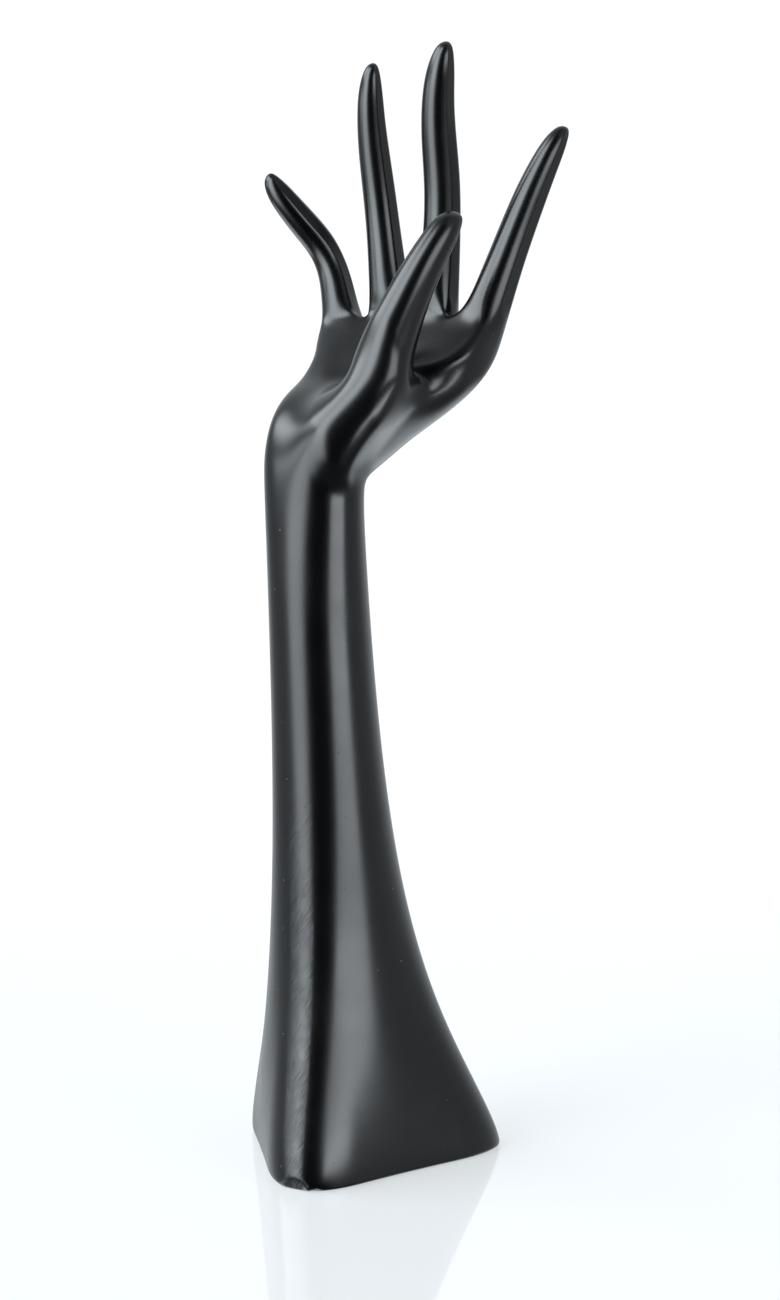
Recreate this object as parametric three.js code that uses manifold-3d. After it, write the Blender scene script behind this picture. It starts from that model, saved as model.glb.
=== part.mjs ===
// Hand jewellery stand: a slender right hand on a forearm that flares into a three-cornered foot.
// Millimetres and degrees, +Z up, origin at the middle of the underside, -Y towards the viewer.
import * as THREE from 'three';
import Module from 'manifold-3d';

// Foot and forearm: how far the sides lie from the middle, how sharp the corners are, how high the flare runs
const FOOT_SIDE_REACH = 34.2;
const FOOT_LEFT_REACH = 31.6;
const FOOT_CORNER_POWER = 2.8;
const FOOT_FRONT_CORNER_ANGLE = -112;
const FOOT_EDGE_RADIUS = 1.4;
const FLARE_HEIGHT = 113.5;
const FLARE_POWER = 1.62;
const ARM_DIAMETER = 32.2;
const SWAY_HEIGHT = 378;

// Wrist: its height, its place off the middle of the foot, and the backward bend of the hand
const WRIST_HEIGHT = 235;
const WRIST_OFFSET_X = -12.2;
const WRIST_OFFSET_Y = -10.8;
const WRIST_BREADTH = 34.8;
const WRIST_DEPTH = 29;
const WRIST_BEND_ANGLE = 54;
const WRIST_BEND_RADIUS = 20;
const HAND_AZIMUTH_ANGLE = 53;

// Palm: its reach to the thumb's side and to the far side of its middle, and how much it swells and hollows
const PALM_LENGTH = 57;
const PALM_RADIAL_REACH = 34;
const PALM_ULNAR_REACH = 31;
const PALM_EDGE_ROUND = 1.7;
const KNUCKLE_DEPTH = 17;
const KNUCKLE_DROP = 7;
const PALM_ARCH = 2;
const PALM_HOLLOW = 4;
const PALM_SHIFT = 5.5;
const THENAR_SWELL = 17;
const THENAR_SIDE_SWELL = 2.6;
const THENAR_SAG = 8.5;
const HEEL_SWELL = 4.5;
const WRIST_FILL = 2.4;
const FINGER_WEB_DEPTH = 8;

// Fingers from the knuckle on: lengths of the bones, bends towards the palm and spreads towards the thumb in
// degrees, and half widths at the root, at the two joints and near the tip
const INDEX = {
  lengths: [39, 23, 18.6], bends: [26, 29, 27], spreads: [3.8, 8.4, 10.4], halfWidths: [8, 6.4, 5.7, 4.4],
};
const MIDDLE = {
  lengths: [46.8, 30, 24], bends: [45, 55, 54], spreads: [-2.2, -4.3, 5], halfWidths: [8, 6.3, 6.1, 5.2],
};
const RING = {
  lengths: [44, 30, 20.4], bends: [46, 56, 56], spreads: [-13, -7.3, -0.5], halfWidths: [7.8, 5.9, 5.4, 4.4],
};
const LITTLE = {
  lengths: [30.2, 18, 17], bends: [43, 82, 82], spreads: [-22.3, -28, -30], halfWidths: [7.2, 5.3, 5.2, 4.3],
};

// Thumb: its root and the two ends of its web are [across, out of the palm, along] the hand
const THUMB = {
  lengths: [26, 18, 17], bends: [34, 25, 20], spreads: [15, 12, 10], halfWidths: [11.2, 8, 6.4, 5.2],
};
const THUMB_ROOT = [19, 19, 15];
const THUMB_ROOT_REACH = 11.8;
const PALMAR_CREASE = [8.5, 17.5, 15.5];
const DORSAL_CREASE = [29.5, 5.5, 16.5];
const THUMB_WEB_DEPTH = 7;
const THUMB_FORK_ALONG = 20;

// Hollow core, underside and weight
const RIM_WIDTH = 3;
const LEDGE_WIDTH = 3;
const CORE_BELOW_WRIST = 40;
const PAD_THICKNESS = 1.5;
const PAD_PROUD = 0.3;
const PLATE_THICKNESS = 3;
const GLUE_GAP = 0.3;
const FIT_GAP = 0.5;
const BALLAST_HEIGHT = 45;
const BALLAST_GAP = 0.8;

// Places on the palm: shares run from the wrist to the knuckle line, columns go round from the thumb's side
const HEEL_PLACE = { share: 0.25, shareSpan: 0.32, column: 8, columnSpan: 5 };
const HOLLOW_PLACE = { share: 0.6, shareSpan: 0.4, column: 6.5, columnSpan: 4.5 };
const WRIST_FILL_PLACE = { share: 0.2, shareSpan: 0.32, column: 20, columnSpan: 7 };
const SHIFT_PLACE = { share: 0.7, shareSpan: 0.55 };
const THENAR_PLACE = {
  fromColumn: 5.5, toColumn: 3, columnSpan: 4.5, turnShare: 0.38, fullShare: 0.42, endShare: 0.5,
};
const PALM_CROWN_SHARE = 0.12;
const KNUCKLE_CREST_SHARE = 0.25;
const KNUCKLE_DROP_START_SHARE = 0.6;

// Shares along a finger: where its sections lie, where its half widths hold, and where pad and tip begin
const SECTION_SHARES = [0.13, 0.25, 0.38, 0.52, 0.66, 0.78, 0.88, 0.95, 0.985];
const HALF_WIDTH_SHARES = [0, 0.35, 0.65, 0.9];
const PAD_START_SHARE = 0.6;
const PAD_LIFT_SHARE = 0.55;
const NOSE_START_SHARE = 0.84;

// Counts of the cage, and the columns that the thumb and its web take
const COLUMN_COUNT = 24;
const FLAT_COLUMN_COUNT = 4;
const FOREARM_RING_COUNT = 10;
const FOREARM_RING_POWER = 1.4;
const HEEL_RING_COUNT = 5;
const UPPER_PALM_RING_COUNT = 2;
const UNDERSIDE_POINT_COUNT = 72;
const CORE_STEP_COUNT = 12;
const BALLAST_STEP_COUNT = 5;
const THUMB_COLUMNS = [0, 1, 2, 3, 4, 5];
const WEB_COLUMNS = [4, 3, 2, 1];
const THUMB_ROOT_ANGLE = -49;
const THUMB_COLUMN_ANGLE = 43;
const THUMB_TWIST_ANGLE = -20;

const { clamp, degToRad, euclideanModulo, lerp, smoothstep } = THREE.MathUtils;
const vector = (x = 0, y = 0, z = 0) => new THREE.Vector3(x, y, z);
const range = (count) => [...Array(count).keys()];
const middle = (points) => points
  .reduce((sum, point) => sum.add(point), vector()).divideScalar(points.length);
const bump = (offset, span) => 0.5 + 0.5 * Math.cos(Math.PI * Math.min(Math.abs(offset) / span, 1));

// Directions of the hand: radial is the thumb's side, heading is where the hand leans
const up = vector(0, 0, 1);
const azimuth = degToRad(HAND_AZIMUTH_ANGLE);
const heading = vector(Math.cos(azimuth), Math.sin(azimuth), 0);
const radial = vector(heading.y, -heading.x, 0);
const tilted = (angle) => heading.clone()
  .multiplyScalar(Math.sin(angle)).addScaledVector(up, Math.cos(angle));
const bendAngle = degToRad(WRIST_BEND_ANGLE);
const bendLength = WRIST_BEND_RADIUS * bendAngle;
const fingerward = tilted(bendAngle);
const palmward = vector().crossVectors(radial, fingerward);
const wrist = vector(WRIST_OFFSET_X, WRIST_OFFSET_Y, WRIST_HEIGHT);

// A mesh of quads strung between rings of points
class Cage {
  points = [];

  faces = [];

  addRing(ring) {
    return ring.map((point) => this.points.push(point) - 1);
  }

  bridge(first, rings) {
    return rings.reduce((lower, ring) => {
      const upper = this.addRing(ring);
      lower.forEach((corner, k) => {
        const next = (k + 1) % lower.length;
        this.faces.push([corner, upper[k], upper[next], lower[next]]);
      });
      return upper;
    }, first);
  }

  close(ring, centre) {
    const [hub] = this.addRing([centre]);
    for (let k = 0; k < ring.length; k += 2) {
      this.faces.push([ring[k], hub, ring[(k + 2) % ring.length], ring[k + 1]]);
    }
  }
}

// Forearm section at a height, moved in by an inset: three corners at the foot, round above. Mixing the two
// by one over their reach keeps every section convex.
function footReach(angle) {
  const sum = [FOOT_SIDE_REACH, FOOT_SIDE_REACH, FOOT_LEFT_REACH].reduce((total, reach, side) => {
    const facing = Math.cos(angle - degToRad(FOOT_FRONT_CORNER_ANGLE + 60 + 120 * side));
    return total + (Math.max(facing, 0) / reach) ** FOOT_CORNER_POWER;
  }, 0);
  return sum ** (-1 / FOOT_CORNER_POWER);
}
function forearmRing(z, inset = 0, count = COLUMN_COUNT) {
  const height = Math.max(z, 0);
  const footShare = Math.exp(-((height / FLARE_HEIGHT) ** FLARE_POWER));
  const sway = (1 - Math.exp(-height / SWAY_HEIGHT)) / (1 - Math.exp(-WRIST_HEIGHT / SWAY_HEIGHT));
  return range(count).map((k) => {
    const angle = degToRad(HAND_AZIMUTH_ANGLE - 90) - k * 2 * Math.PI / count;
    const reach = 1 / (footShare / footReach(angle) + (1 - footShare) * 2 / ARM_DIAMETER) - inset;
    return vector(WRIST_OFFSET_X * sway, WRIST_OFFSET_Y * sway, z)
      .add(vector(Math.cos(angle), Math.sin(angle)).multiplyScalar(reach));
  });
}

// A point of the hand: across to the thumb's side, out of the palm, and along from the end of the bend
function handPoint(across, out, along) {
  const tilt = clamp((along + bendLength) / WRIST_BEND_RADIUS, 0, bendAngle);
  return wrist.clone()
    .addScaledVector(heading, WRIST_BEND_RADIUS * (1 - Math.cos(tilt)))
    .addScaledVector(up, WRIST_BEND_RADIUS * Math.sin(tilt))
    .addScaledVector(tilted(tilt), Math.max(along, 0))
    .addScaledVector(radial, across)
    .addScaledVector(vector().crossVectors(radial, tilted(tilt)), out);
}

// A column's place across and out of a flat palm, from -1 to 1 each, and whether it is on a rounded edge
function flatPalm(column) {
  const half = COLUMN_COUNT / 2;
  const across = (column <= half ? half / 2 - column : column - 1.5 * half) / FLAT_COLUMN_COUNT;
  const face = column > 0 && column < half ? 1 : -1;
  if (Math.abs(across) <= 1) return [across, face * (1 - PALM_CROWN_SHARE * across ** 4), false];
  return [Math.sign(across), column % half === 0 ? 0 : face / 2, true];
}
const columnsFrom = (column, centre) => euclideanModulo(column - centre + COLUMN_COUNT / 2, COLUMN_COUNT)
  - COLUMN_COUNT / 2;
function near(place, column, share) {
  const { column: centre, columnSpan, share: crest, shareSpan } = place;
  const alongShare = bump(share - crest, shareSpan);
  return columnSpan ? alongShare * bump(columnsFrom(column, centre), columnSpan) : alongShare;
}
// Share of the full ball of the thumb, whose crest turns towards the thumb as it grows
function thenarAt(column, share) {
  const { fromColumn, toColumn, columnSpan, turnShare, fullShare, endShare } = THENAR_PLACE;
  if (share >= endShare) return 0;
  const crest = lerp(fromColumn, toColumn, Math.min(share / turnShare, 1));
  return smoothstep(share, 0, fullShare) * bump(columnsFrom(column, crest), columnSpan);
}

// Palm section between the wrist (share 0) and the knuckle line (share 1)
function palmPoint(column, share) {
  const ease = smoothstep(share, 0, 1);
  const angle = 2 * Math.PI * column / COLUMN_COUNT;
  const [flatAcross, flatOut, onEdge] = flatPalm(column);
  const reach = (flatAcross < 0 ? PALM_ULNAR_REACH : PALM_RADIAL_REACH) + (onEdge ? PALM_EDGE_ROUND : 0);
  const across = lerp(Math.cos(angle), flatAcross, ease);
  const halfDepth = lerp(WRIST_DEPTH, KNUCKLE_DEPTH, ease ** 2) / 2;
  const out = halfDepth * lerp(Math.sin(angle), flatOut, ease) - PALM_ARCH * ease * (1 - across ** 2);
  const thenar = thenarAt(column, share);
  const drop = KNUCKLE_DROP * (flatAcross - KNUCKLE_CREST_SHARE) ** 2;
  return handPoint(
    lerp(WRIST_BREADTH / 2, reach, ease) * across + PALM_SHIFT * near(SHIFT_PLACE, column, share)
      + THENAR_SIDE_SWELL * thenar,
    out + THENAR_SWELL * thenar + HEEL_SWELL * near(HEEL_PLACE, column, share)
      - PALM_HOLLOW * near(HOLLOW_PLACE, column, share) - WRIST_FILL * near(WRIST_FILL_PLACE, column, share),
    lerp(-bendLength, PALM_LENGTH, share) - THENAR_SAG * thenar
      - drop * smoothstep(share, KNUCKLE_DROP_START_SHARE, 1),
  );
}
const palmRing = (share) => range(COLUMN_COUNT).map((column) => palmPoint(column, share));
const palmShare = (along) => (bendLength + along) / (bendLength + PALM_LENGTH);

// Direction of a finger's bone, and the curve through its joints
function boneDirection({ bends, spreads }, bone) {
  const bend = degToRad(bends[bone]);
  const spread = degToRad(spreads[bone]);
  return fingerward.clone().multiplyScalar(Math.cos(bend) * Math.cos(spread))
    .addScaledVector(palmward, Math.sin(bend) * Math.cos(spread))
    .addScaledVector(radial, Math.sin(spread));
}
function fingerCurve(start, finger) {
  const joints = [start];
  finger.lengths.forEach((length, bone) => {
    joints.push(joints.at(-1).clone().addScaledVector(boneDirection(finger, bone), length));
  });
  return new THREE.CatmullRomCurve3(joints, false, 'centripetal');
}
// Frame of a finger's section: sideways to the thumb's side, and out of the pad
function sectionFrame(along) {
  const sideways = radial.clone().addScaledVector(along, -radial.dot(along)).normalize();
  return [sideways, vector().crossVectors(sideways, along)];
}
// Half width along a finger, drawn to a round nose at the tip
function halfWidthAt(share, halfWidths) {
  const station = HALF_WIDTH_SHARES.findLastIndex((start) => start <= share);
  const next = Math.min(station + 1, HALF_WIDTH_SHARES.length - 1);
  const stretch = HALF_WIDTH_SHARES[next] - HALF_WIDTH_SHARES[station] || 1;
  const nose = Math.max(0, (share - NOSE_START_SHARE) / (1 - NOSE_START_SHARE));
  const width = lerp(halfWidths[station], halfWidths[next], (share - HALF_WIDTH_SHARES[station]) / stretch);
  return width * Math.sqrt(1 - nose ** 2);
}
// Sections of a finger on its root ring. The pad curves up to the tip and the back stays straight.
function addFinger(cage, root, start, finger, angleAt) {
  const curve = fingerCurve(start, finger);
  const tipWidth = finger.halfWidths[2];
  const throughPoints = 6 / (4 + 2 * Math.cos(2 * Math.PI / root.length));
  const padLift = (share, size) => (share > PAD_START_SHARE ? PAD_LIFT_SHARE * (tipWidth - size) : 0);
  const rings = SECTION_SHARES.map((share) => {
    const [sideways, out] = sectionFrame(curve.getTangentAt(share));
    const size = halfWidthAt(share, finger.halfWidths);
    return root.map((_, k) => {
      const angle = angleAt(k, share);
      return curve.getPointAt(share)
        .addScaledVector(sideways, throughPoints * size * Math.cos(angle))
        .addScaledVector(out, throughPoints * size * Math.sin(angle) - padLift(share, size));
    });
  });
  const [, out] = sectionFrame(curve.getTangentAt(1));
  cage.close(cage.bridge(root, rings), curve.getPointAt(1).addScaledVector(out, -padLift(1, 0)));
}

// Forearm from the sole of the foot up to the wrist
function addForearm(cage) {
  const throughPoints = (ring) => ring.map((point, k) => point.clone().multiplyScalar(8 / 6)
    .addScaledVector(ring.at(k - 1), -1 / 6).addScaledVector(ring[(k + 1) % ring.length], -1 / 6));
  const sole = cage.addRing(forearmRing(PAD_PROUD, FOOT_LEFT_REACH / 2));
  cage.close([...sole].reverse(), vector(0, 0, PAD_PROUD));
  const heights = range(FOREARM_RING_COUNT).slice(1)
    .map((i) => WRIST_HEIGHT * (i / FOREARM_RING_COUNT) ** FOREARM_RING_POWER);
  return cage.bridge(sole, [
    forearmRing(PAD_PROUD, 2 * FOOT_EDGE_RADIUS),
    forearmRing(PAD_PROUD, FOOT_EDGE_RADIUS / 2),
    forearmRing(PAD_PROUD + FOOT_EDGE_RADIUS),
    ...heights.map((z) => forearmRing(z)),
  ].map(throughPoints));
}
// Thumb on the ring where the palm forks. Its root is square to it, and a web closes it on the palm's side.
function addThumb(cage, heel) {
  const [dorsal, palmar] = [THUMB_COLUMNS[0], THUMB_COLUMNS.at(-1)];
  const start = handPoint(...THUMB_ROOT);
  const [sideways, out] = sectionFrame(boneDirection(THUMB, 0));
  const fork = palmRing(palmShare(THUMB_FORK_ALONG));
  THUMB_COLUMNS.forEach((column, k) => {
    const angle = degToRad(THUMB_ROOT_ANGLE + THUMB_COLUMN_ANGLE * k);
    fork[column] = start.clone()
      .addScaledVector(sideways, THUMB_ROOT_REACH * Math.cos(angle))
      .addScaledVector(out, THUMB_ROOT_REACH * Math.sin(angle));
  });
  fork[palmar] = handPoint(...PALMAR_CREASE);
  fork[dorsal] = handPoint(...DORSAL_CREASE);
  const forkRing = cage.bridge(heel, [fork]);
  const web = cage.addRing(WEB_COLUMNS.map((_, k) => {
    const share = (k + 1) / (WEB_COLUMNS.length + 1);
    return fork[palmar].clone().lerp(fork[dorsal], share)
      .addScaledVector(fingerward, THUMB_WEB_DEPTH * Math.sin(Math.PI * share));
  }));
  const root = [...THUMB_COLUMNS.map((column) => forkRing[column]), ...web];
  addFinger(cage, root, start, THUMB, (k, share) => {
    const even = degToRad(THUMB_TWIST_ANGLE) + 2 * Math.PI * k / root.length;
    const offset = cage.points[root[k]].clone().sub(start);
    const atRoot = Math.atan2(offset.dot(out), offset.dot(sideways));
    const fromEven = euclideanModulo(atRoot - even + Math.PI, 2 * Math.PI) - Math.PI;
    return even + fromEven * Math.max(1 - share / PAD_START_SHARE, 0);
  });
  WEB_COLUMNS.forEach((column, k) => { forkRing[column] = web[k]; });
  return forkRing;
}
// Four fingers: each takes three palm columns and three back columns, and shares its webs with its neighbours
function addFingers(cage, knuckles) {
  const pick = (columns) => columns.map((column) => knuckles[column]);
  const webs = [1, 2, 3].map((k) => {
    const [front, back] = pick([2 + 2 * k, 22 - 2 * k]).map((id) => cage.points[id]);
    return cage.addRing([middle([front, back]).addScaledVector(fingerward, -FINGER_WEB_DEPTH)])[0];
  });
  [INDEX, MIDDLE, RING, LITTLE].forEach((finger, i) => {
    const root = [
      ...(i === 0 ? pick([23, 0, 1]) : [webs[i - 1]]),
      ...pick([2 + 2 * i, 3 + 2 * i, 4 + 2 * i]),
      ...(i === 3 ? pick([11, 12, 13]) : [webs[i]]),
      ...pick([20 - 2 * i, 21 - 2 * i, 22 - 2 * i]),
    ];
    const start = middle(root.map((id) => cage.points[id]));
    const firstColumn = i === 0 ? 1 : 0;
    addFinger(cage, root, start, finger, (k) => 2 * Math.PI * (k - firstColumn) / root.length);
  });
}
// The whole hand, from the sole of the foot to the fingertips
function makeHandCage() {
  const cage = new Cage();
  const heelShares = range(HEEL_RING_COUNT).map((i) => palmShare(THUMB_FORK_ALONG) * i / HEEL_RING_COUNT);
  const heel = cage.bridge(addForearm(cage), heelShares.map(palmRing));
  const fork = addThumb(cage, heel);
  const upperShares = range(UPPER_PALM_RING_COUNT + 2).slice(1)
    .map((i) => palmShare(lerp(THUMB_FORK_ALONG, PALM_LENGTH, i / (UPPER_PALM_RING_COUNT + 1))));
  addFingers(cage, cage.bridge(fork, upperShares.map(palmRing)));
  return cage;
}

// One Catmull-Clark step
function subdivide({ points, faces }) {
  const smooth = new Cage();
  const middles = faces.map((face) => middle(face.map((i) => points[i])));
  const edges = new Map();
  const edgeKey = (a, b) => Math.min(a, b) * points.length + Math.max(a, b);
  const around = points.map(() => ({ middles: [], halves: [] }));
  faces.forEach((face, f) => face.forEach((a, k) => {
    const b = face[(k + 1) % face.length];
    around[a].middles.push(middles[f]);
    if (!edges.has(edgeKey(a, b))) {
      const half = middle([points[a], points[b]]);
      edges.set(edgeKey(a, b), { ends: [points[a], points[b]], sides: [] });
      around[a].halves.push(half);
      around[b].halves.push(half);
    }
    edges.get(edgeKey(a, b)).sides.push(middles[f]);
  }));
  smooth.addRing(points.map((point, i) => {
    const count = around[i].middles.length;
    return middle(around[i].middles).addScaledVector(middle(around[i].halves), 2)
      .addScaledVector(point, count - 3).divideScalar(count);
  }));
  const middleIds = smooth.addRing(middles);
  edges.forEach((edge) => { [edge.id] = smooth.addRing([middle([...edge.ends, ...edge.sides])]); });
  faces.forEach((face, f) => face.forEach((a, k) => {
    const after = edges.get(edgeKey(a, face[(k + 1) % face.length])).id;
    const before = edges.get(edgeKey(face.at(k - 1), a)).id;
    smooth.faces.push([a, after, middleIds[f], before]);
  }));
  return smooth;
}
// Moves the points of a subdivided cage on to the surface that further steps would reach
function moveToLimit({ points, faces }) {
  const around = points.map(() => ({ count: 0, sum: vector() }));
  faces.forEach((face) => face.forEach((a, k) => {
    around[a].count += 1;
    around[a].sum.add(points[face[(k + 2) % 4]])
      .addScaledVector(points[face[(k + 1) % 4]], 2).addScaledVector(points[face[(k + 3) % 4]], 2);
  }));
  const moved = points.map((point, i) => {
    const { count, sum } = around[i];
    return sum.clone().addScaledVector(point, count ** 2).divideScalar(count * (count + 5));
  });
  return Object.assign(new Cage(), { points: moved, faces });
}

// Plain closed solid through rings of points, from the lowest ring to the highest
function loft(rings) {
  const cage = new Cage();
  const bottom = cage.addRing(rings[0]);
  cage.close([...bottom].reverse(), middle(rings[0]));
  cage.close(cage.bridge(bottom, rings.slice(1)), middle(rings.at(-1)));
  return cage;
}
// Straight slab of the foot's outline between two heights
function slab(low, high, inset) {
  const outline = forearmRing(0, inset, UNDERSIDE_POINT_COUNT);
  return loft([low, high].map((z) => outline.map((point) => point.clone().setZ(z))));
}
// Solid that follows the forearm's outline between two heights
function core(low, high, inset, stepCount) {
  return loft(range(stepCount + 1).map((i) => forearmRing(lerp(low, high, i / stepCount), inset)));
}
const triangles = ({ faces }) => faces.flatMap(([a, b, c, d]) => [a, b, d, b, c, d]);

const wasm = await Module();
wasm.setup();
function solidOf(cage) {
  const vertProperties = Float32Array.from(cage.points.flatMap((point) => point.toArray()));
  const triVerts = Uint32Array.from(triangles(cage));
  return new wasm.Manifold(new wasm.Mesh({ numProp: 3, vertProperties, triVerts }));
}
function geometryOf(solid) {
  const { vertProperties, triVerts } = solid.getMesh();
  const geometry = new THREE.BufferGeometry();
  geometry.setAttribute('position', new THREE.Float32BufferAttribute(vertProperties, 3));
  geometry.setIndex([...triVerts]);
  return geometry;
}

// The underside from the counter upwards: pad, plate, glue line, weight
const plateTop = PAD_THICKNESS + PLATE_THICKNESS;
const ledgeHeight = plateTop + GLUE_GAP;
const wall = RIM_WIDTH + LEDGE_WIDTH;
const coreTop = WRIST_HEIGHT - CORE_BELOW_WRIST;
const casting = solidOf(moveToLimit(subdivide(makeHandCage())))
  .subtract(solidOf(slab(-PAD_THICKNESS, ledgeHeight, RIM_WIDTH)))
  .subtract(solidOf(core(PAD_THICKNESS, coreTop, wall, CORE_STEP_COUNT)));
const plate = solidOf(slab(PAD_THICKNESS, plateTop, RIM_WIDTH + FIT_GAP));
const pad = solidOf(slab(0, PAD_THICKNESS, RIM_WIDTH + FIT_GAP));
const ballast = solidOf(core(plateTop, plateTop + BALLAST_HEIGHT, wall + BALLAST_GAP, BALLAST_STEP_COUNT));

const stand = new THREE.Group();
function addPiece(name, solid, color, roughness) {
  const material = new THREE.MeshStandardMaterial({ color, roughness, metalness: 0 });
  const mesh = new THREE.Mesh(geometryOf(solid), material);
  mesh.name = name;
  stand.add(mesh);
}
addPiece('hand_casting', casting, 0x18191b, 0.42);
addPiece('base_plate', plate, 0x4b3b2d, 0.8);
addPiece('ballast_block', ballast, 0x4a4b4d, 0.7);
addPiece('felt_pad', pad, 0x1c1c1e, 1);

export default stand;
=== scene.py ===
# %% [markdown]
# This lesson dresses a hand-shaped jewellery stand. On the real object one hollow black casting makes the
# hand, the wrist and the forearm, and a weighted, felt-padded underside closes it. The packed CAD part is
# loaded first, because it fixes where everything is.

# %% Load the frame
from math import atan2, cos, exp, pi, radians, sin, sqrt

import bpy
import numpy as np
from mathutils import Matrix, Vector


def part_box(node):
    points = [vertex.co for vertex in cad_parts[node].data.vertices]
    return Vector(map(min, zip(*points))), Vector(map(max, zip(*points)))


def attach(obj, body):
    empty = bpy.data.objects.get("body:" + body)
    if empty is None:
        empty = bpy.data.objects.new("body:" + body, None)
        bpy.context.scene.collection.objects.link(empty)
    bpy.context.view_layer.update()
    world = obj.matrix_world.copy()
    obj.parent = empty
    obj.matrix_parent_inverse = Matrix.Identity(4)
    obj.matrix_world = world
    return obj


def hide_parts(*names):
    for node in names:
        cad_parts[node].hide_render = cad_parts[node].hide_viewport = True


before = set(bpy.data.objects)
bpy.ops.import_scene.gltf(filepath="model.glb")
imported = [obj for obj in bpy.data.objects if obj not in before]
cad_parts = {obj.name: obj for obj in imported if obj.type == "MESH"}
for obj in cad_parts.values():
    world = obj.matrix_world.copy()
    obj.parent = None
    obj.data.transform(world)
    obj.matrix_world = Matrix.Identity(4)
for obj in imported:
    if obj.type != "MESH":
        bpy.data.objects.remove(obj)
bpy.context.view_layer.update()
scene = bpy.context.scene
MM = 0.001

# %% [markdown]
# The camera stands where the photographer stood. It could be moved by eye until the picture matches, but
# four numbers read off the photograph settle it: the scale at the foot, the pixel of the foot's middle, the
# distance and the downward tilt.

# %% Camera
PHOTO_WIDTH, PHOTO_HEIGHT = 780, 1300
FOOT_PIXEL = (351, 1150)
MM_PER_PIXEL = 0.348
CAMERA_DISTANCE = 1600
CAMERA_TILT = radians(11.5)
SENSOR = 36

ahead = Vector((0, cos(CAMERA_TILT), -sin(CAMERA_TILT)))
upward = Vector((0, sin(CAMERA_TILT), cos(CAMERA_TILT)))
camera_place = (
    Vector((PHOTO_WIDTH / 2 - FOOT_PIXEL[0], 0, 0)) * MM_PER_PIXEL
    + upward * (FOOT_PIXEL[1] - PHOTO_HEIGHT / 2) * MM_PER_PIXEL
    - ahead * CAMERA_DISTANCE
)
camera = bpy.data.objects.new("camera", bpy.data.cameras.new("camera"))
camera.data.lens = SENSOR * CAMERA_DISTANCE / MM_PER_PIXEL / PHOTO_HEIGHT
camera.data.sensor_width = SENSOR
camera.location = camera_place * MM
camera.rotation_euler = (pi / 2 - CAMERA_TILT, 0, 0)
scene.collection.objects.link(camera)
scene.camera = camera
print("camera at", [round(value, 3) for value in camera.location], "lens", round(camera.data.lens, 1), "mm")

# %% [markdown]
# Every finish below is a small network of nodes. Writing each node and link by hand hides the idea, so one
# class wraps a socket: arithmetic on it adds Math nodes, and its add method makes any other node from a
# type, the settings that come first, and the values or links of its sockets.

# %% A socket that does maths
class Wire:
    """One output socket of a node tree."""

    def __init__(self, tree, socket):
        self.tree = tree
        self.socket = socket

    @classmethod
    def add(cls, tree, kind, settings=None, inputs=None, output=0):
        node = tree.nodes.new(kind)
        for name, value in (settings or {}).items():
            setattr(node, name, value)
        for name, value in (inputs or {}).items():
            if isinstance(value, Wire):
                tree.links.new(value.socket, node.inputs[name])
            else:
                node.inputs[name].default_value = value
        return cls(tree, node.outputs[output]) if len(node.outputs) else node

    def math(self, operation, first, second=0.0):
        return Wire.add(self.tree, "ShaderNodeMath", {"operation": operation}, {0: first, 1: second})

    def __add__(self, other):
        return self.math("ADD", self, other)

    def __radd__(self, other):
        return self.math("ADD", other, self)

    def __sub__(self, other):
        return self.math("SUBTRACT", self, other)

    def __rsub__(self, other):
        return self.math("SUBTRACT", other, self)

    def __mul__(self, other):
        return self.math("MULTIPLY", self, other)

    def __rmul__(self, other):
        return self.math("MULTIPLY", other, self)

    def rise(self, low, high):
        """0 below low, 1 above high and smooth between. A high under a low makes it fall."""
        if low > high:
            return 1 - self.rise(high, low)
        limits = {"Value": self, "From Min": low, "From Max": high}
        return Wire.add(self.tree, "ShaderNodeMapRange", {"interpolation_type": "SMOOTHSTEP"}, limits)


print("Wire knows", [name for name in vars(Wire) if not name.startswith("__")])

# %% [markdown]
# A black satin skin shows little but reflections, so the light is drawn for what it shows. Lamps could be
# pushed about until the bands fall right. Here the room is painted by direction instead: the two bands down
# the arm tell where the soft boxes begin and end, and the black band between them is the dark end of the
# room where the camera stands. The camera itself sees plain white.

# %% What the studio holds
ROOM_WHITE, CAMERA_WHITE = 0.83, 1.05
WHITE, COOL_WHITE = (1.0, 1.0, 1.0, 1.0), (0.88, 0.95, 1.0, 1.0)
EVERY_HEIGHT = (-90, 90)
BRIGHTER_FROM, BRIGHTER_TO = -14, 14
# Patches of the room: azimuth from and to, elevation from and to, soft edge, all in degrees, and radiance
# low down and high up
ROOM_PATCHES = {
    "right wall": ((50, 122), EVERY_HEIGHT, 14, 0.48, 0.48),
    "left wall": ((-143, -84), EVERY_HEIGHT, 14, 0.4, 0.4),
    "dark end": ((-46, 44), EVERY_HEIGHT, 10, 0.0, 0.0),
    "left soft box": ((-73, -34), (-23, 66), 9, 5.2, 8.5),
    "left soft box, far part": ((-124, -73), (20, 52), 7, 7.0, 7.0),
    "left soft box, low part": ((-104, -73), (-2, 10), 5, 4.5, 4.5),
    "right soft box, upper part": ((25, 61), (12, 34), 5, 5.5, 5.5),
}
TABLE_FRONT, TABLE_BACK = 0.11, 2.85
TABLE_BELOW, TABLE_SOFT = -31, 8
TABLE_BACK_FROM, TABLE_BACK_TO = 92, 108
CEILING_FROM, CEILING_TO, CEILING = 60, 80, 0.25
print("studio patches:", list(ROOM_PATCHES))

# %% Directions and mixing
DEGREES = 180 / pi


def part_of(tree, vector, axis):
    """One number of a vector: 0 is x, 1 is y and 2 is z."""
    return Wire.add(tree, "ShaderNodeSeparateXYZ", None, {0: vector}, axis)


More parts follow.
